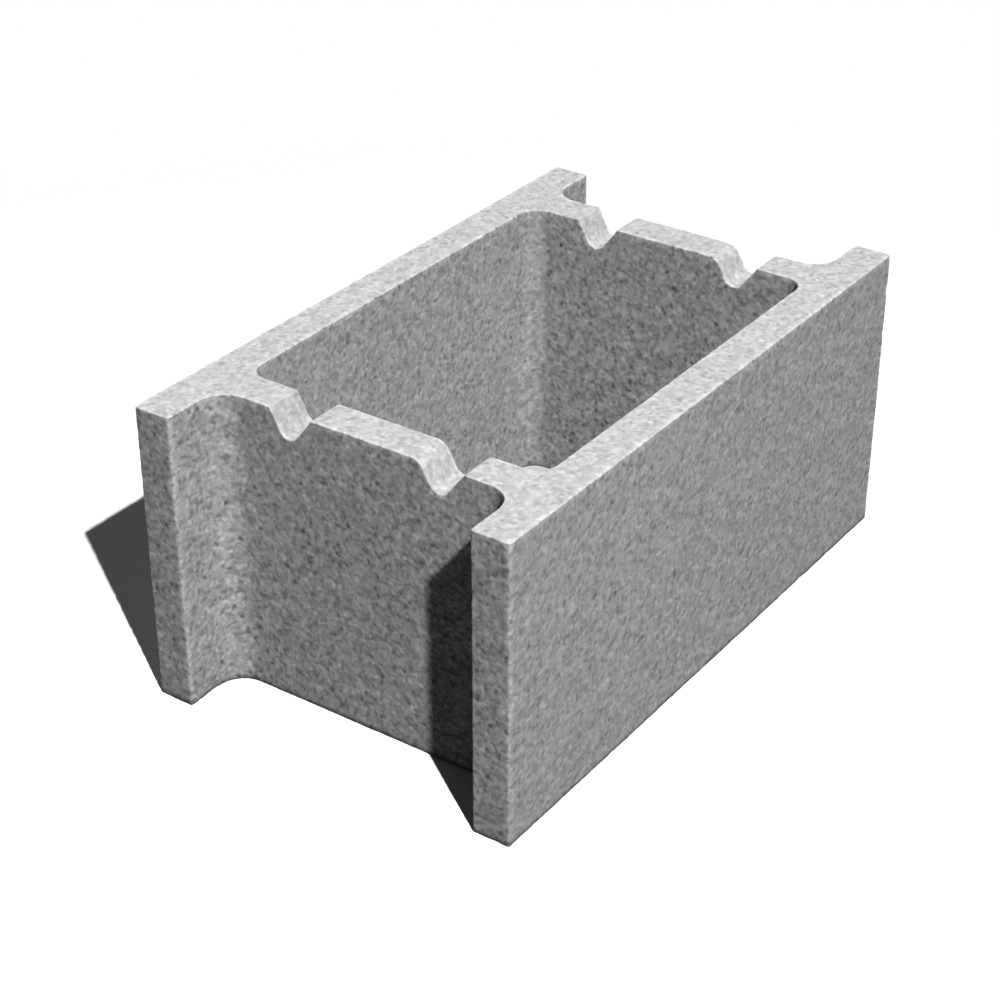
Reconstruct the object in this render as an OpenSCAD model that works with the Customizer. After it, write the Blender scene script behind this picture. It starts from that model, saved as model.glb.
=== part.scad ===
// Shuttering block: a hollow concrete formwork block, cast in one piece.
// Two long walls are joined by two cross webs that are set back from the wall ends, so the block
// has one large core through its middle and an open pocket at each end. Two notches in the top of
// each web carry the level reinforcing bars before the wall is filled.
// Frame: origin at the centre of the underside, +X along the walls, +Y across them, +Z up, in mm.

/* [Block] */
// Length along the walls
length = 500; // [360:10:640]
// Width across both walls
width = 300; // [260:10:400]
// Height of the block, which is the height of one course
height = 230; // [150:5:300]

/* [Walls and webs] */
// Thickness of each long wall
wall_thickness = 30; // [20:1:45]
// Thickness of each cross web
web_thickness = 30; // [20:1:50]
// Distance from the wall ends to the outer face of a web, which is the depth of an end pocket
web_setback = 50; // [25:1:80]

/* [Corner fillets] */
// Radius where a web meets the walls in an end pocket
pocket_fillet = 20; // [5:1:35]
// Radius where a web meets the walls in the core
core_fillet = 15; // [5:1:35]

/* [Bar notches] */
// Distance between the roots of the two notches in a web
notch_spacing = 122; // [95:1:150]
// Depth of a notch below the top of the web
notch_depth = 20; // [14:1:40]
// Radius of the notch root, which cradles the bar
notch_root_radius = 8; // [4:0.5:12]
// Slope of the steep flank, on the +Y side of each notch, in degrees from level
notch_steep_slope = 62; // [50:1:78]
// Slope of the easy flank, on the -Y side of each notch, in degrees from level
notch_easy_slope = 53; // [42:1:75]
// Radius of the rounded shoulder, above the steep flank of the -Y notch
notch_shoulder_radius = 12; // [4:1:22]

/* [Hidden] */
$fn = 96;

// How far a cutter runs past the face that it opens
overcut = 5;

core_length = length - 2 * (web_setback + web_thickness);
core_width = width - 2 * wall_thickness;

// Level distance from a notch's root to where each flank meets the top of the web
steep_run = notch_root_radius * tan(notch_steep_slope / 2) + notch_depth / tan(notch_steep_slope);
easy_run = notch_root_radius * tan(notch_easy_slope / 2) + notch_depth / tan(notch_easy_slope);

// Distance from the shoulder's corner to where its arc leaves the flank and the top of the web
shoulder_reach = notch_shoulder_radius * tan(notch_steep_slope / 2);

// Point where a flank of a given slope leaves the root arc, measured from the lowest point
function root_tangent(slope) = notch_root_radius * [sin(slope), 1 - cos(slope)];

// Rectangle about the origin with all four corners rounded
module rounded_rectangle(size_x, size_y, radius) {
    square([size_x - 2 * radius, size_y], center = true);
    square([size_x, size_y - 2 * radius], center = true);
    for (x = [-1, 1], y = [-1, 1])
        translate([x * (size_x / 2 - radius), y * (size_y / 2 - radius)])
            circle(radius);
}

// Rectangle about the X axis, open past x = 0, with its two corners at x = depth rounded
module end_pocket(depth, size_y, radius) {
    open_length = radius + overcut;
    translate([-open_length, -size_y / 2])
        square([open_length + depth - radius, size_y]);
    translate([-open_length, radius - size_y / 2])
        square([open_length + depth, size_y - 2 * radius]);
    for (y = [-1, 1])
        translate([depth - radius, y * (size_y / 2 - radius)])
            circle(radius);
}

// Level section of the block: the outline, less the core and the two end pockets
module plan() {
    difference() {
        square([length, width], center = true);
        rounded_rectangle(core_length, core_width, core_fillet);
        for (side = [0, 1])
            mirror([side, 0])
                translate([-length / 2, 0])
                    end_pocket(web_setback, core_width, pocket_fillet);
    }
}

// Upright section of a notch, with its lowest point at the origin
module notch_section() {
    top = notch_depth + overcut;
    easy = root_tangent(notch_easy_slope);
    steep = root_tangent(notch_steep_slope);
    polygon([
        [-easy_run, top],
        [-easy_run, notch_depth],
        [-easy.x, easy.y],
        [steep.x, steep.y],
        [steep_run, notch_depth],
        [steep_run, top],
    ]);
    translate([0, notch_root_radius])
        circle(notch_root_radius);
}

// What the rounded shoulder takes off the corner between a notch's steep flank and the top
module shoulder_section() {
    corner = [steep_run, notch_depth];
    on_flank = corner - shoulder_reach * [cos(notch_steep_slope), sin(notch_steep_slope)];
    on_top = corner + [shoulder_reach, 0];
    difference() {
        polygon([on_flank, on_top, on_top + [0, overcut], [0, notch_depth + overcut]]);
        translate(on_top - [0, notch_shoulder_radius])
            circle(notch_shoulder_radius);
    }
}

// A section drawn in Y and Z, carried along X through both webs
module through_webs() {
    rotate([90, 0, 90])
        linear_extrude(length, center = true)
            children();
}

// The whole block, one casting
module block() {
    color([0.62, 0.62, 0.63])
        difference() {
            linear_extrude(height)
                plan();
            translate([0, 0, height - notch_depth])
                through_webs() {
                    for (side = [-1, 1])
                        translate([side * notch_spacing / 2, 0])
                            notch_section();
                    translate([-notch_spacing / 2, 0])
                        shoulder_section();
                }
        }
}

block();
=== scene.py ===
# %% [markdown]
# # A concrete shuttering block
#
# The object is one casting of pale grey concrete: two long walls, two cross webs between them, a
# large core through the middle, an open pocket at each end and two bar notches in the top of each
# web. Walls are laid from such blocks without mortar, and then filled with wet concrete.
#
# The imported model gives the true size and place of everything, so it is loaded first and its box
# is kept. The looks are then built around it, in metres, in the same frame: +X along the walls,
# +Y across them, +Z up, with the origin in the middle of the underside.

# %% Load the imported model
import math

import bmesh
import bpy
import numpy as np
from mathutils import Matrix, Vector


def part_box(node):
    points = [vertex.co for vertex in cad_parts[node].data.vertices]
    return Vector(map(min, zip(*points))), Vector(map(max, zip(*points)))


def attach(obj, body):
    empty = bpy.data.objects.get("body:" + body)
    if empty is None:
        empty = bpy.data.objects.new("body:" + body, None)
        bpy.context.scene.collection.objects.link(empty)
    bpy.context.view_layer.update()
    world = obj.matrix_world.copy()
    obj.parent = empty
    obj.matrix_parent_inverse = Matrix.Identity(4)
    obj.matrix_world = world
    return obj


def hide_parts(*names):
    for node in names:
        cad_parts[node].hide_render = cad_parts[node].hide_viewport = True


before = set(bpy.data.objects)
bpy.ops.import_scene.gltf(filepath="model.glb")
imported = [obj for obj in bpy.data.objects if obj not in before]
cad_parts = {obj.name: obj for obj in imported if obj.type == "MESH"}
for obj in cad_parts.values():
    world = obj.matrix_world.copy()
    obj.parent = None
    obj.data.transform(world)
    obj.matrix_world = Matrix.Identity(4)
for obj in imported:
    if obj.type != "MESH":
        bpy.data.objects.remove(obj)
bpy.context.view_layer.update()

# %% [markdown]
# ## Sizes
#
# The outer sizes are read from the frame. The inner ones, such as a wall's thickness, aren't
# stored there, so they are named here once, and every place on the block is worked out from them.
# All later cells use these names.

# %% Name the block's sizes
MM = 0.001

far_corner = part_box("block")[1]
half_length = far_corner.x
half_width = far_corner.y
height = far_corner.z

wall_thickness = 30 * MM
web_thickness = 30 * MM
web_setback = 50 * MM
pocket_fillet = 20 * MM
core_fillet = 15 * MM

notch_spacing = 122 * MM
notch_depth = 20 * MM
notch_root_radius = 8 * MM
notch_steep_slope = 62
notch_easy_slope = 53
notch_shoulder_radius = 12 * MM

inner_y = half_width - wall_thickness
pocket_x = half_length - web_setback
core_x = pocket_x - web_thickness
print("wall inner face at y", round(inner_y, 4), "web faces at x", round(core_x, 4), round(pocket_x, 4))

# %% [markdown]
# ## The camera
#
# The block's straight edges meet at true right angles, so the photograph itself says where it was
# taken from: the camera below is the one through which edges of these sizes fall on the edges in
# the picture. It looks down on one end at about 31 degrees, through a long lens. Nothing is
# shifted or blurred.

# %% Place the camera
camera_place = Vector((-1.1709, -0.7853, 0.9245))
view_direction = Vector((0.7051, 0.4921, -0.5105))
lens_mm = 80.56
sensor_mm = 36

camera_data = bpy.data.cameras.new("camera")
camera_data.lens = lens_mm
camera_data.sensor_width = sensor_mm
camera = bpy.data.objects.new("camera", camera_data)
camera.location = camera_place
camera.rotation_euler = view_direction.to_track_quat("-Z", "Y").to_euler()
bpy.context.scene.collection.objects.link(camera)
bpy.context.scene.camera = camera
print("camera looks down at", round(math.degrees(math.asin(-view_direction.z)), 1), "degrees")

# %% [markdown]
# ## Lines, arcs and chains
#
# A real block has no sharp edges. Each corner, fillet and notch is a straight run or a circular
# arc that flows into the next one. So the outlines are drawn with just two tools, a line and an
# arc. Each returns its points and, at each point, the direction square to the line on its left. A
# bevel modifier could round a sharp mesh instead, but then the notches, fillets and worn edges
# would all be left to its clamping, and none of them could be worn unevenly.

# %% Draw lines, arcs and chains
def even(count):
    """Shares from 0 to 1, evenly spaced, with count steps between them."""
    return np.linspace(0, 1, count + 1)


def line(start, end, shares):
    """Points at the given shares of the way from start to end, and the normal on the line's left."""
    start = np.array(start, float)
    end = np.array(end, float)
    along = (end - start) / np.linalg.norm(end - start)
    left = np.array([-along[1], along[0]])
    return start + np.outer(shares, end - start), np.tile(left, (len(shares), 1))


def arc(centre, radius, from_degrees, to_degrees, count):
    """Points on a circle between two angles. The left normal points at the centre where the arc
    turns left, and away from it where it turns right."""
    angle = np.radians(np.linspace(from_degrees, to_degrees, count + 1))
    spoke = np.column_stack([np.cos(angle), np.sin(angle)])
    turns_left = np.sign(to_degrees - from_degrees)
    return np.array(centre) + radius * spoke, -turns_left * spoke


def chain(*pieces):
    """Pieces joined end to end. A piece's first point repeats the last one, so it is left out."""
    points = [pieces[0][0]] + [piece[0][1:] for piece in pieces[1:]]
    normals = [pieces[0][1]] + [piece[1][1:] for piece in pieces[1:]]
    return np.vstack(points), np.vstack(normals)


quarter_turn = arc((0, 0), 1, 0, 90, 2)[0]
print("a quarter turn in 2 steps:", quarter_turn.round(2).tolist())

# %% [markdown]
# ## The top of a web
#
# Seen from the block's end, the top of a web is a level line with two notches. Each notch has an
# easy flank, a round root that cradles the bar, and a steep flank. Where a flank meets the top,
# the corner is only just rounded, apart from one shoulder on the -Y notch that the mould rounds
# well. The section is drawn once, in Y and Z, and both webs use it.

# %% Work out a notch
corner_radius = 2.2 * MM
flank_steps = 5
root_steps = 7
corner_steps = 3
shoulder_steps = 6

steep = math.radians(notch_steep_slope)
easy = math.radians(notch_easy_slope)
steep_run = notch_root_radius * math.tan(steep / 2) + notch_depth / math.tan(steep)
easy_run = notch_root_radius * math.tan(easy / 2) + notch_depth / math.tan(easy)


def notch(root_y, shoulder_radius, steps):
    """One notch from -Y to +Y: a small corner, the easy flank, the root arc, the steep flank and a
    shoulder arc. Every arc touches its flank, because its centre lies one radius from it."""
    easy_y = root_y - easy_run - corner_radius * math.tan(easy / 2)
    steep_y = root_y + steep_run + shoulder_radius * math.tan(steep / 2)
    corner = arc((easy_y, height - corner_radius), corner_radius,
                 90, 90 - notch_easy_slope, corner_steps)
    root = arc((root_y, height - notch_depth + notch_root_radius), notch_root_radius,
               270 - notch_easy_slope, 270 + notch_steep_slope, root_steps)
    shoulder = arc((steep_y, height - shoulder_radius), shoulder_radius,
                   90 + notch_steep_slope, 90, steps)
    easy_flank = line(corner[0][-1], root[0][0], even(flank_steps))
    steep_flank = line(root[0][-1], shoulder[0][0], even(flank_steps))
    return chain(corner, easy_flank, root, steep_flank, shoulder)


minus_notch = notch(-notch_spacing / 2, notch_shoulder_radius, shoulder_steps)
plus_notch = notch(notch_spacing / 2, corner_radius, corner_steps)
print("notch widths, mm:", [round(np.ptp(n[0][:, 0]) / MM, 1) for n in (minus_notch, plus_notch)])

# %% Draw the top of a web
grid_step = 3.4 * MM
clear_of_fillet = 4 * MM
web_flat_y = inner_y - pocket_fillet - clear_of_fillet


def steps_for(distance):
    """How many grid steps fit a distance."""
    return max(2, round(distance / grid_step))


def level(start, end):
    """A level run of the web's top between two places on Y."""
    return line((start, height), (end, height), even(steps_for(end - start)))


web_top = chain(
    level(-web_flat_y, minus_notch[0][0, 0]),
    minus_notch,
    level(minus_notch[0][-1, 0], plus_notch[0][0, 0]),
    plus_notch,
    level(plus_notch[0][-1, 0], web_flat_y),
)
print("web top:", len(web_top[0]), "points, lowest at", round(web_top[0][:, 1].min() / MM, 2), "mm")

# %% [markdown]
# ## The plan outline
#
# Both ends of the block are alike, so half of it is drawn, for positive X, and mirrored later. The
# outer outline runs from the middle of one long face, round one end and its pocket, to the middle
# of the other long face. The core's outline runs the other way, so that the concrete is on the
# left of both. Each stretch gets a name. The long faces take the same places along X as the core,
# web and pocket behind them, so that the grid on top of a wall meets both of its sides.

# %% Choose the stations along X
web_steps = 12

core_end = core_x - core_fillet
pocket_start = pocket_x + pocket_fillet
wing_end = half_length - corner_radius
core_run = even(steps_for(core_end))
junction_run = even(web_steps)
wing_run = even(steps_for(wing_end - pocket_start))
face_places = np.concatenate([
    core_run * core_end,
    core_end + junction_run[1:] * (pocket_start - core_end),
    pocket_start + wing_run[1:] * (wing_end - pocket_start),
])
face_shares = face_places / wing_end
print("stations along half of a long face:", len(face_places))

# %% Draw half of the plan outline
arc_steps = 9
lead_steps = 2
wall_steps = steps_for(wall_thickness)


def wall_corner(y, from_degrees):
    """The small round corner of a wall end, centred at a place on Y."""
    return arc((wing_end, y), corner_radius, from_degrees, from_degrees + 90, corner_steps)


def web_face(x, half_flat, towards):
    """The upright face of a web: its plan run, with the stations of the web's top."""
    lead = line((-half_flat, height), (-web_flat_y, height), even(lead_steps))
    tail = line((web_flat_y, height), (half_flat, height), even(lead_steps))
    section, upward = chain(lead, web_top, tail)
    plan = np.column_stack([np.full(len(section), x), section[:, 0]])
    inward = np.tile([towards, 0.0], (len(section), 1))
    return plan, inward, section[:, 1], upward


outer_y = half_width - corner_radius
wing_y = inner_y + corner_radius
pocket_y = inner_y - pocket_fillet
core_y = inner_y - core_fillet
runs = {
    "outer_minus": line((0, -half_width), (wing_end, -half_width), face_shares),
    "corner_outer_minus": wall_corner(-outer_y, -90),
    "end_minus": line((half_length, -outer_y), (half_length, -wing_y), even(wall_steps)),
    "corner_wing_minus": wall_corner(-wing_y, 0),
    "wing_minus": line((wing_end, -inner_y), (pocket_start, -inner_y), wing_run),
    "pocket_fillet_minus": arc((pocket_start, -pocket_y), pocket_fillet, 270, 180, arc_steps),
    "web_pocket": web_face(pocket_x, pocket_y, -1.0),
    "pocket_fillet_plus": arc((pocket_start, pocket_y), pocket_fillet, 180, 90, arc_steps),
    "wing_plus": line((pocket_start, inner_y), (wing_end, inner_y), wing_run),
    "corner_wing_plus": wall_corner(wing_y, -90),
    "end_plus": line((half_length, wing_y), (half_length, outer_y), even(wall_steps)),
    "corner_outer_plus": wall_corner(outer_y, 0),
    "outer_plus": line((wing_end, half_width), (0, half_width), 1 - face_shares[::-1]),
    "core_plus": line((0, inner_y), (core_end, inner_y), core_run),
    "core_fillet_plus": arc((core_end, core_y), core_fillet, 90, 0, arc_steps),
    "web_core": web_face(core_x, core_y, 1.0),
    "core_fillet_minus": arc((core_end, -core_y), core_fillet, 0, -90, arc_steps),
    "core_minus": line((core_end, -inner_y), (0, -inner_y), core_run),
}
print("plan outline:", len(runs), "runs in half of the block")

# %% [markdown]
# ## The upright skin
#
# Every upright surface of the block, flat or round, is one profile carried along a run of the
# plan: up over the bottom arris, up the plain face and over the top arris. An arris is a quarter
# turn from one face's direction to the other's. On a web the top tilts into the notches, so there
# the quarter turn leans with it, and the edge of a notch is rounded as the wall tops are.

# %% Carry the profile along each run
top_arris = 1.1 * MM
bottom_arris = 2.0 * MM
arris_steps = 3
face_rows = steps_for(height)


def arris(edge, inward, outward, radius):
    """A quarter turn round an edge: from the point one radius down the face, to the point one
    radius in on the cap. Each point is the centre plus the radius times a mix of the two normals."""
    turn = np.radians(np.linspace(0, 90, arris_steps + 1))[None, :, None]
    centre = edge + radius * (inward - outward)
    spoke = np.sin(turn) * outward[:, None] - np.cos(turn) * inward[:, None]
    return centre[:, None] + radius * spoke


def upright_skin(plan, inward, rim=None, upward=None):
    """The grid of one run: bottom arris, face rows, top arris. Rim is the height of the top edge,
    and upward the direction in Y and Z that the top faces there."""
    count = len(plan)
    zero = np.zeros(count)
    rim = np.full(count, height) if rim is None else rim
    upward = np.tile([0.0, 1.0], (count, 1)) if upward is None else upward
    inward = np.column_stack([inward, zero])
    upward = np.column_stack([zero, upward])
    downward = np.tile([0.0, 0.0, -1.0], (count, 1))
    bottom = arris(np.column_stack([plan, zero]), inward, downward, bottom_arris)[:, ::-1]
    top = arris(np.column_stack([plan, rim]), inward, upward, top_arris)
    share = even(face_rows)[None, 1:-1, None]
    face = bottom[:, -1:] + share * (top[:, :1] - bottom[:, -1:])
    return np.concatenate([bottom, face, top], axis=1)


skins = {name: upright_skin(*run) for name, run in runs.items()}
column_count = sum(len(skin) for skin in skins.values())
print("upright skin:", column_count, "columns of", face_rows + 2 * arris_steps + 1, "points")

# %% [markdown]
# ## The top and the underside
#
# The caps have to meet the upright skin point for point. A Coons patch does that: it fills four
# edge curves with the sum of two ruled surfaces, less the flat one through the corners. Half a
# block needs three patches on top and three below: one for each wall and one for the web, which
# takes its notches from its own long edges.

# %% Fill the caps
def coons(first, last, left, right):
    """The patch between the curves first and last, which run along it, and left and right, which
    run across it from first to last."""
    along = even(len(first) - 1)[:, None, None]
    across = even(len(left) - 1)[None, :, None]
    ruled_across = (1 - across) * first[:, None] + across * last[:, None]
    ruled_along = (1 - along) * left[None] + along * right[None]
    flat_first = (1 - along) * first[0] + along * first[-1]
    flat_last = (1 - along) * last[0] + along * last[-1]
    return ruled_across + ruled_along - (1 - across) * flat_first - across * flat_last


def between(start, end, count):
    """A straight row of points from one point to another."""
    return start + even(count)[:, None] * (end - start)


def caps(column):
    """The three patches at one end of the skin's columns: 0 is the underside, -1 the top."""
    rim = {name: skin[:, column] for name, skin in skins.items()}
    pocket_side = np.vstack([
        rim["pocket_fillet_minus"], rim["web_pocket"][1:], rim["pocket_fillet_plus"][1:],
    ])
    core_side = np.vstack([
        rim["core_fillet_minus"][::-1], rim["web_core"][1:], rim["core_fillet_plus"][::-1][1:],
    ])
    junction_minus = between(core_side[0], pocket_side[0], web_steps)
    junction_plus = between(core_side[-1], pocket_side[-1], web_steps)
    web = coons(core_side, pocket_side, junction_minus, junction_plus)

    inside_minus = np.vstack([
        rim["core_minus"][::-1], junction_minus[1:],
        rim["wing_minus"][::-1][1:], rim["corner_wing_minus"][::-1][1:],
    ])
    outside_minus = np.vstack([rim["outer_minus"], rim["corner_outer_minus"][1:]])
    seam_minus = between(outside_minus[0], inside_minus[0], wall_steps)
    wall_minus = coons(outside_minus, inside_minus, seam_minus, rim["end_minus"])

    inside_plus = np.vstack([
        rim["core_plus"], junction_plus[1:], rim["wing_plus"][1:], rim["corner_wing_plus"][1:],
    ])
    outside_plus = np.vstack([rim["outer_plus"][::-1], rim["corner_outer_plus"][::-1][1:]])
    seam_plus = between(inside_plus[0], outside_plus[0], wall_steps)
    wall_plus = coons(inside_plus, outside_plus, seam_plus, rim["end_plus"])
    return [web, wall_minus, wall_plus]


underside = caps(0)
top_side = caps(-1)
print("caps:", [patch.shape[:2] for patch in top_side], "points each")

# %% [markdown]
# ## One closed mesh
#
# The patches of one half are copied to the other with X turned round, and all their points are
# welded where they fall on the same place. Two weights go with each point. One is 1 on an arris and
# 0 on a plain face, for the wear below and for the finish, which lightens arrises and paints a
# shade on their foot. The other says how gritty a face is: the long outer faces slide along the
# mould's walls and the tops are tamped, so both are smoother.

# %% Weigh the arrises and the grit
face_grit = {"outer": 0.64, "core": 0.74, "wing": 0.85}
cap_grit = 0.52
other_grit = 0.95


def edge_weight(name, skin):
    """1 on the arrises at both ends of each column, and all over a round wall corner. The foot of
    the core has weight 0, so it gets neither the painted shade at the foot nor crumbs and chips."""
    weight = np.zeros(skin.shape[:2])
    weight[:, -arris_steps - 1:] = 1
    if "core" not in name:
        weight[:, :arris_steps + 1] = 1
    if name.startswith("corner"):
        weight[:] = 1
    return weight


all_caps = underside + top_side
patches = list(skins.values()) + all_caps
edges = [edge_weight(name, skin) for name, skin in skins.items()]
edges += [np.zeros(patch.shape[:2]) for patch in all_caps]
grits = [face_grit.get(name.split("_")[0], other_grit) for name in skins]
grits += [cap_grit] * len(all_caps)
print("patches in half of the block:", len(patches), "grit from", min(grits), "to", max(grits))

# %% Weld the patches into one skin
weld_distance = 1e-6
key_offset = 0.3


def quads(rows, columns):
    """Corner numbers of every cell of a grid whose points are numbered row by row."""
    number = np.arange(rows * columns).reshape(rows, columns)
    cells = [number[:-1, :-1], number[1:, :-1], number[1:, 1:], number[:-1, 1:]]
    return np.stack(cells, axis=-1).reshape(-1, 4)


points = np.vstack([patch.reshape(-1, 3) for patch in patches])
edge = np.concatenate([weight.ravel() for weight in edges])
grit = np.concatenate([np.full(weight.size, amount) for weight, amount in zip(edges, grits)])
starts = np.cumsum([0] + [patch.shape[0] * patch.shape[1] for patch in patches[:-1]])
faces = np.vstack([start + quads(*patch.shape[:2]) for start, patch in zip(starts, patches)])

mirrored = points * [-1, 1, 1]
faces = np.vstack([faces, faces[:, ::-1] + len(points)])
points = np.vstack([points, mirrored])
edge = np.tile(edge, 2)
grit = np.tile(grit, 2)
# The offset keeps places on round numbers away from the borders between two keys.
keys = np.round(points / weld_distance + key_offset).astype(int)
_, first, where = np.unique(keys, axis=0, return_index=True, return_inverse=True)
where = where.ravel()
corners = where[faces]
vertices = points[first]
arris_share = np.zeros(len(vertices))
np.maximum.at(arris_share, where, edge)
grit_share = np.ones(len(vertices))
np.minimum.at(grit_share, where, grit)
print("welded", len(points), "points into", len(vertices), "with", len(corners), "cells")

# %% Put the skin into a mesh
block_mesh = bpy.data.meshes.new("block_skin")
block_mesh.from_pydata(vertices, [], corners)
builder = bmesh.new()
builder.from_mesh(block_mesh)
bmesh.ops.recalc_face_normals(builder, faces=builder.faces)
open_edges = sum(not mesh_edge.is_manifold for mesh_edge in builder.edges)
builder.to_mesh(block_mesh)
builder.free()
print("open edges:", open_edges, "triangles:", 2 * len(block_mesh.polygons))

# %% [markdown]
# ## Wear and unevenness
#
# Pressed concrete is never quite flat, and its edges crumble a little when the mould lifts off and
# when blocks knock together. A sculptor would dab this on. Here it is a sum of plane waves, which
# is smooth, has no grid of its own and is the same on every run. All of it goes inwards, so the
# skin stays within the true size.

# %% Make smooth noise
wave_count = 48
length_spread = (0.7, 1.4)


def waves(wavelength, seed):
    """Smooth noise with mean 0 and spread 1 at every vertex: plane waves in seeded directions, with
    lengths near the one given, added up and divided by the root of half their number."""
    draw = np.random.default_rng(seed)
    direction = draw.normal(size=(wave_count, 3))
    direction /= np.linalg.norm(direction, axis=1, keepdims=True)
    length = wavelength * draw.uniform(*length_spread, (wave_count, 1))
    phase = draw.uniform(0, 2 * np.pi, wave_count)
    turns = vertices @ (2 * np.pi * direction / length).T + phase
    return np.sin(turns).sum(axis=1) / math.sqrt(wave_count / 2)


def swell(depth, wavelength, seed):
    """A gentle rise and fall all over: the noise times a depth."""
    return depth * waves(wavelength, seed)


def hollows(depth, wavelength, above, seed):
    """Separate hollows, only where the noise is above a level, and no deeper than the depth."""
    return depth * np.clip(waves(wavelength, seed) - above, 0, 1)


uneven = swell(depth=0.06 * MM, wavelength=45 * MM, seed=1)
grainy = swell(depth=0.05 * MM, wavelength=10 * MM, seed=2)
dents = hollows(depth=0.5 * MM, wavelength=15 * MM, above=2.0, seed=3)
crumbs = np.abs(swell(depth=0.10 * MM, wavelength=8 * MM, seed=4))
chips = hollows(depth=0.5 * MM, wavelength=22 * MM, above=1.7, seed=5)
print("dented share of the skin:", round((dents > 0).mean(), 3))

# %% Wear the skin
skim = 0.2 * MM


def normals_of(mesh):
    """The mesh's vertex normals as an array."""
    flat = np.empty(3 * len(mesh.vertices))
    mesh.vertex_normals.foreach_get("vector", flat)
    return flat.reshape(-1, 3)


depth = np.clip(skim + uneven + grainy, 0, None) + dents + arris_share * (crumbs + chips)
worn = vertices - depth[:, None] * normals_of(block_mesh)
block_mesh.vertices.foreach_set("co", worn.ravel())
block_mesh.update()
print("wear: mean", round(depth.mean() / MM, 3), "mm, deepest", round(depth.max() / MM, 2), "mm")

# %% [markdown]
# ## Smooth shading that keeps the faces flat
#
# With plain smooth shading, the narrow arris cells would tilt the normals of the wide cells beside
# them, and the edges would look swollen. So each vertex normal is the mean of its cells' normals
# weighted by their areas, and the wide, flat cells win.

# %% Weight the normals by area
def area_weighted_normals(mesh):
    """For each vertex, the sum of its cells' normals times their areas, made one long."""
    cell_count = len(mesh.polygons)
    area = np.empty(cell_count)
    normal = np.empty(3 * cell_count)
    corner_vertex = np.empty(len(mesh.loops), dtype=np.int32)
    mesh.polygons.foreach_get("area", area)
    mesh.polygons.foreach_get("normal", normal)
    mesh.loops.foreach_get("vertex_index", corner_vertex)
    corners_per_cell = len(mesh.loops) // cell_count
    push = np.repeat(normal.reshape(-1, 3) * area[:, None], corners_per_cell, axis=0)
    total = np.zeros((len(mesh.vertices), 3))
    np.add.at(total, corner_vertex, push)
    return total / np.linalg.norm(total, axis=1, keepdims=True)


block_mesh.shade_smooth()
block_mesh.normals_split_custom_set_from_vertices(area_weighted_normals(block_mesh))
for name, values in (("arris", arris_share), ("grit", grit_share)):
    attribute = block_mesh.attributes.new(name, "FLOAT", "POINT")
    attribute.data.foreach_set("value", values.astype(np.float32))

block = bpy.data.objects.new("block_skin", block_mesh)
bpy.context.scene.collection.objects.link(block)
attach(block, "root")
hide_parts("block")
print("block skin:", len(block_mesh.vertices), "vertices")

# %% [markdown]
# ## Concrete
#
# Bare pressed concrete is a pale cement paste full of sand. An image of it would need an unwrapped
# mesh and would blur close up, so the pattern is worked out by nodes from Object coordinates,
# which are in metres here, so that a pattern's scale is one over its size. The material is built
# in four short steps. The first fetches the coordinates and the mesh's two weights.

# %% Start the concrete
def add_node(tree, kind, inputs=None, **settings):
    """A new node with its settings, and its inputs set to values or linked to other sockets."""
    node = tree.nodes.new(kind)
    for name, value in settings.items():
        setattr(node, name, value)
    for name, value in (inputs or {}).items():
        if isinstance(value, bpy.types.NodeSocket):
            tree.links.new(value, node.inputs[name])
        else:
            node.inputs[name].default_value = value
    return node


concrete = bpy.data.materials.new("concrete")
concrete.use_nodes = True
mix_of_concrete = concrete.node_tree
spot_on_block = add_node(mix_of_concrete, "ShaderNodeTexCoord").outputs["Object"]
above_floor = add_node(mix_of_concrete, "ShaderNodeSeparateXYZ", {"Vector": spot_on_block}).outputs["Z"]
arris_weight = add_node(mix_of_concrete, "ShaderNodeAttribute", attribute_name="arris").outputs["Fac"]
grit_weight = add_node(mix_of_concrete, "ShaderNodeAttribute", attribute_name="grit").outputs["Fac"]
print("concrete starts from:", [node.bl_label for node in mix_of_concrete.nodes])

# %% [markdown]
# ### Sand, grains and pores
#
# The sand is two soft noises of unlike sizes added together, so that its tones spread evenly about
# a mean of 0. A warp curls their shapes, because crushed sand isn't round. Finer dust lies between.
# The single grains and the pores are spots, at most one in each cell of a Voronoi pattern, with a
# share of the cells left empty. Faint blotches a few centimetres wide lie over all of it.

# %% Lay out the sand, grains and pores
sand_sizes = (5.0 * MM, 6.2 * MM)
dust_size = 1.8 * MM
blotch_size = 45 * MM
blotch_detail = 3.0
grain_warp = 1.0
noise_mean = 0.5
faint_share = 0.15


def noise(size, detail=0.0):
    """Cloudy noise between 0 and 1, with features of about the given size and curled shapes."""
    inputs = {"Vector": spot_on_block, "Scale": 1 / size, "Detail": detail, "Distortion": grain_warp}
    return add_node(mix_of_concrete, "ShaderNodeTexNoise", inputs).outputs["Fac"]


def spread(tree, value, low, high, to_low, to_high):
    """A value's range carried over to another range, smoothly and clamped."""
    inputs = {"Value": value, "From Min": low, "From Max": high, "To Min": to_low, "To Max": to_high}
    node = add_node(tree, "ShaderNodeMapRange", inputs, interpolation_type="SMOOTHSTEP")
    return node.outputs["Result"]


def math_of(tree, operation, first, second):
    """One sum, product or the like of two values."""
    node = add_node(tree, "ShaderNodeMath", {0: first, 1: second}, operation=operation)
    return node.outputs["Value"]


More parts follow.
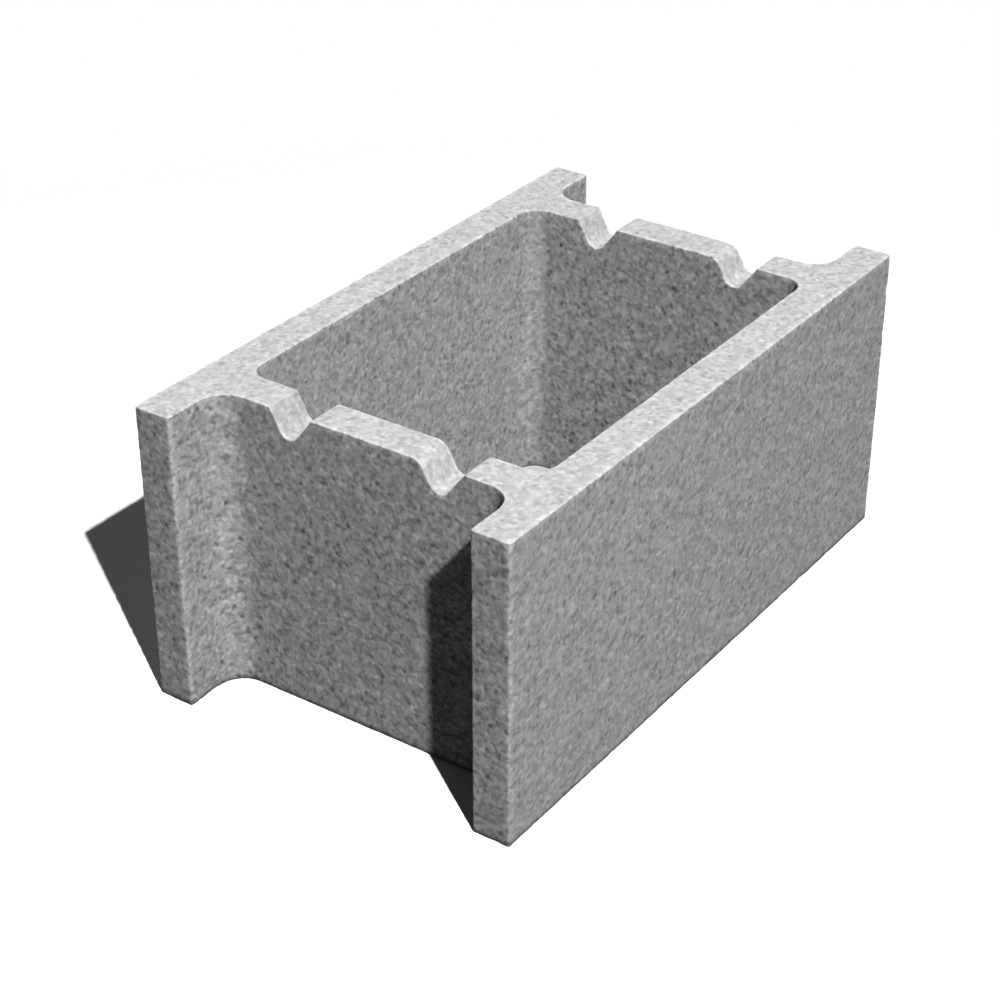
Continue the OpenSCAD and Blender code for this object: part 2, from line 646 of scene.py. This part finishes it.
def spots(cell, inner, outer, empty):
    """Round spots, at most one in each cell: 1 nearer the middle than inner, 0 past outer, both as
    shares of a cell. Empty is the share of cells that have none, and a few more are faint."""
    cells = add_node(mix_of_concrete, "ShaderNodeTexVoronoi", {"Vector": spot_on_block, "Scale": 1 / cell})
    chance = add_node(mix_of_concrete, "ShaderNodeSeparateColor", {"Color": cells.outputs["Color"]})
    disc = spread(mix_of_concrete, cells.outputs["Distance"], inner, outer, 1.0, 0.0)
    kept = spread(mix_of_concrete, chance.outputs["Red"], empty, empty + faint_share, 0.0, 1.0)
    return math_of(mix_of_concrete, "MULTIPLY", disc, kept)


sand_sum = math_of(mix_of_concrete, "ADD", noise(sand_sizes[0]), noise(sand_sizes[1]))
sand = math_of(mix_of_concrete, "SUBTRACT", sand_sum, 2 * noise_mean)
dust = math_of(mix_of_concrete, "SUBTRACT", noise(dust_size), noise_mean)
light_grains = spots(cell=5.0 * MM, inner=0.20, outer=0.50, empty=0.30)
dark_grains = spots(cell=5.4 * MM, inner=0.20, outer=0.50, empty=0.30)
pores = spots(cell=16 * MM, inner=0.04, outer=0.14, empty=0.72)
blotches = math_of(mix_of_concrete, "SUBTRACT", noise(blotch_size, blotch_detail), noise_mean)
print("sand and pores: now", len(mix_of_concrete.nodes), "nodes")

# %% [markdown]
# ### Colour
#
# The fields tint the cement lighter or darker. Sand and grains tint it less on the smoother faces,
# by the mesh's grit weight. Arrises are lighter, partly because bare cement is rubbed there and
# partly as a painted highlight along the edges. The lowest few millimetres carry a painted shade,
# where the arris turns under to the floor.

# %% Tint the cement
cement = (0.306, 0.304, 0.3135)
grain_tints = ((sand, 0.85), (dust, 0.26), (light_grains, 0.34), (dark_grains, -0.31))
blotch_tint = 0.12
pore_painted_shade = 0.55
# The foot tint is a painted shade. The arris tint is partly rubbed wear and partly a painted highlight.
foot_painted_shade = -0.5
arris_wear_and_painted_highlight = 0.14
foot_from = 3 * MM
foot_to = 7 * MM

speckle = 0.0
for field, tint in grain_tints:
    share = math_of(mix_of_concrete, "MULTIPLY", field, tint)
    speckle = math_of(mix_of_concrete, "ADD", speckle, share)
grain_tone = math_of(mix_of_concrete, "MULTIPLY", speckle, grit_weight)
blotch_tone = math_of(mix_of_concrete, "MULTIPLY", blotches, blotch_tint)
# A painted shade on the lowest few millimetres of an arris. Above it the arris is lighter, from rubbed
# wear and a painted highlight.
arris_light_and_foot_shade = spread(mix_of_concrete, above_floor, foot_from, foot_to, foot_painted_shade, arris_wear_and_painted_highlight)
arris_light_and_foot_shade_tone = math_of(mix_of_concrete, "MULTIPLY", arris_light_and_foot_shade, arris_weight)

# Pores are darkened by a painted shade, where the hole would be in shadow.
tone = spread(mix_of_concrete, pores, 0.0, 1.0, 1.0, pore_painted_shade)
for tint in (grain_tone, blotch_tone, arris_light_and_foot_shade_tone):
    tone = math_of(mix_of_concrete, "MULTIPLY", tone, math_of(mix_of_concrete, "ADD", tint, 1.0))
tinted = add_node(mix_of_concrete, "ShaderNodeVectorMath", {0: cement, "Scale": tone}, operation="SCALE")
paste = mix_of_concrete.nodes["Principled BSDF"]
mix_of_concrete.links.new(tinted.outputs["Vector"], paste.inputs["Base Color"])
print("cement tinted: now", len(mix_of_concrete.nodes), "nodes")

# %% [markdown]
# ### Bump and finish
#
# The same sand and pores raise and sink the surface by fractions of a millimetre, which is too fine
# for the mesh, so pores are dark and deep in one place; their darkness is a painted shade. Dry
# concrete is matt: it scatters light evenly and shows no gloss, so its specular level is 0.

# %% Roughen the surface
grain_height = 0.2 * MM
pore_depth = 0.8
matt_roughness = 0.95
gloss = 0.0

pits = math_of(mix_of_concrete, "MULTIPLY", pores, pore_depth)
rise = math_of(mix_of_concrete, "SUBTRACT", sand, pits)
relief = add_node(mix_of_concrete, "ShaderNodeBump", {"Distance": grain_height, "Height": rise})
mix_of_concrete.links.new(relief.outputs["Normal"], paste.inputs["Normal"])
paste.inputs["Roughness"].default_value = matt_roughness
paste.inputs["Specular IOR Level"].default_value = gloss
block_mesh.materials.append(concrete)
print("concrete:", len(mix_of_concrete.nodes), "nodes")

# %% [markdown]
# ## Floor
#
# The picture has a white floor with one dark shadow. The floor is white to the camera and dark to
# light that bounces, because a white floor that threw its light back would fill the shadows. Inside
# the core it sees little of the room, so a painted shade makes it greyer there. Away from the block it
# fades to plain white, as a studio's curved backdrop does.

# %% Sort rays and places
under_wall = 10 * MM


def white_to_camera(tree):
    """1 for rays that show a surface in the picture, straight, mirrored or through glass."""
    ray = add_node(tree, "ShaderNodeLightPath").outputs
    shown = math_of(tree, "MAXIMUM", ray["Is Camera Ray"], ray["Is Glossy Ray"])
    return math_of(tree, "MAXIMUM", shown, ray["Is Transmission Ray"])


def mix(tree, share, first, second):
    """One shader where the share is 0, another where it is 1."""
    return add_node(tree, "ShaderNodeMixShader", {"Fac": share, 1: first, 2: second}).outputs["Shader"]


def in_core(tree, place):
    """1 on the floor inside the core and just under its walls, 0 elsewhere: a place is inside where
    it is nearer the middle than the core's sides, along X and along Y."""
    inside = 1.0
    across = add_node(tree, "ShaderNodeSeparateXYZ", {"Vector": place}).outputs
    for axis, side_at in (("X", core_x), ("Y", inner_y)):
        from_middle = math_of(tree, "ABSOLUTE", across[axis], 0.0)
        nearer = math_of(tree, "LESS_THAN", from_middle, side_at + under_wall)
        inside = math_of(tree, "MULTIPLY", inside, nearer)
    return inside


reach = [round(side_at + under_wall, 3) for side_at in (core_x, inner_y)]
print("the core's floor reaches x and y of", reach)

# %% Lay the floor
floor_half = 40.0
floor_white = 0.45
core_floor_painted_shade = 0.5
floor_bounce = (0.017, 0.017, 0.017, 1)
pure_white = (1, 1, 1, 1)
fade_start = 0.45
fade_end = 1.0


def white_floor():
    """White with the block's shadow close to and a painted shade inside the core, plain white further
    off, dark to bouncing light.
    """
    material = bpy.data.materials.new("floor_white")
    material.use_nodes = True
    tree = material.node_tree
    tree.nodes.remove(tree.nodes["Principled BSDF"])
    place = add_node(tree, "ShaderNodeTexCoord").outputs["Object"]
    distance = add_node(tree, "ShaderNodeVectorMath", {0: place}, operation="LENGTH").outputs["Value"]
    fade = spread(tree, distance, fade_start, fade_end, 0.0, 1.0)
    # A painted shade makes the floor greyer inside the core.
    shade = spread(tree, in_core(tree, place), 0.0, 1.0, floor_white, floor_white * core_floor_painted_shade)
    lit = add_node(tree, "ShaderNodeBsdfDiffuse", {"Color": shade}).outputs["BSDF"]
    plain = add_node(tree, "ShaderNodeEmission", {"Color": pure_white, "Strength": 1.0})
    dark = add_node(tree, "ShaderNodeBsdfDiffuse", {"Color": floor_bounce}).outputs["BSDF"]
    shown = mix(tree, fade, lit, plain.outputs["Emission"])
    surface = mix(tree, white_to_camera(tree), dark, shown)
    tree.links.new(surface, tree.nodes["Material Output"].inputs["Surface"])
    return material


rims = np.array([-floor_half, floor_half])
floor_x, floor_y = np.meshgrid(rims, rims, indexing="ij")
floor_points = np.stack([floor_x, floor_y, np.zeros_like(floor_x)], axis=-1).reshape(-1, 3)
floor_mesh = bpy.data.meshes.new("floor")
floor_mesh.from_pydata(floor_points, [], quads(2, 2))
floor_mesh.materials.append(white_floor())
floor = bpy.data.objects.new("floor", floor_mesh)
bpy.context.scene.collection.objects.link(floor)
print("floor:", 2 * floor_half, "m square")

# %% [markdown]
# ## Light
#
# The shadows say where the main lamp is: behind the camera and to its right, about six metres off,
# and no larger than a dinner plate, because their edges are nearly sharp. The floor has a lamp of
# its own at the same place, so that it can be white while the block is lit plainly. The tops are
# brighter than the sides, so another lamp hangs overhead. For other views there are level lamps at
# the back and at the far end, and a broad, soft one that reaches into the pockets and the core. A
# faint one keeps the shadow on the floor from going black. Each shines on the block or on the floor
# alone.

# %% Make lamps for the block and for the floor
key_place = (-2.55, -3.47, 4.43)

block_alone = bpy.data.collections.new("block_alone")
block_alone.objects.link(block)
floor_alone = bpy.data.collections.new("floor_alone")
floor_alone.objects.link(floor)


def add_lamp(name, kind, strength, receivers):
    """A lamp of a kind that shines on the receivers alone. Only the block throws shadows."""
    lamp = bpy.data.lights.new(name, kind)
    lamp.energy = strength
    holder = bpy.data.objects.new(name, lamp)
    holder.light_linking.receiver_collection = receivers
    holder.light_linking.blocker_collection = block_alone
    bpy.context.scene.collection.objects.link(holder)
    return holder


def small_lamp(name, strength, radius, receivers):
    """A small lamp at the key's place."""
    holder = add_lamp(name, "POINT", strength, receivers)
    holder.location = key_place
    holder.data.shadow_soft_size = radius


def far_lamp(name, travel, strength, softness_degrees, receivers):
    """A lamp so far off that its light travels one way all over."""
    holder = add_lamp(name, "SUN", strength, receivers)
    holder.data.angle = math.radians(softness_degrees)
    holder.rotation_euler = Vector(travel).to_track_quat("-Z", "Y").to_euler()


print("key lamp to origin:", round(Vector(key_place).length, 2), "m")

# %% Light the block and the floor
key_power = 1790
key_radius = 0.12
floor_power = 5900
floor_lamp_radius = 0.04
overhead_travel = (0.0, 0.15, -0.989)
overhead_strength = 3.53
back_travel = (0.0, -1.0, 0.0)
back_strength = 0.9
end_travel = (-1.0, 0.0, 0.0)
end_strength = 0.7
inner_travel = (-0.55, -0.69, -0.47)
inner_strength = 0.5
fill_travel = (-0.30, -0.75, -0.56)
fill_strength = 0.36
narrow_degrees = 8
broad_degrees = 90

small_lamp("key_lamp", key_power, key_radius, block_alone)
small_lamp("floor_lamp", floor_power, floor_lamp_radius, floor_alone)
far_lamp("overhead_lamp", overhead_travel, overhead_strength, narrow_degrees, block_alone)
far_lamp("back_lamp", back_travel, back_strength, narrow_degrees, block_alone)
far_lamp("end_lamp", end_travel, end_strength, narrow_degrees, block_alone)
far_lamp("inner_lamp", inner_travel, inner_strength, broad_degrees, block_alone)
far_lamp("floor_fill", fill_travel, fill_strength, narrow_degrees, floor_alone)

# %% [markdown]
# ## Studio
#
# The world is a white room to the camera and a dim one to the block, so that the shadows keep their
# depth. The view transform is Standard, which shows colours as they are written.

# %% Build the studio
ambient = 0.048

world = bpy.data.worlds.new("studio")
bpy.context.scene.world = world
world.use_nodes = True
room = world.node_tree
dim = room.nodes["Background"]
dim.inputs["Color"].default_value = pure_white
dim.inputs["Strength"].default_value = ambient
white = add_node(room, "ShaderNodeBackground", {"Color": pure_white, "Strength": 1.0})
seen = mix(room, white_to_camera(room), dim.outputs["Background"], white.outputs["Background"])
room.links.new(seen, room.nodes["World Output"].inputs["Surface"])
bpy.context.scene.view_settings.view_transform = "Standard"
print("studio: ambient", ambient)
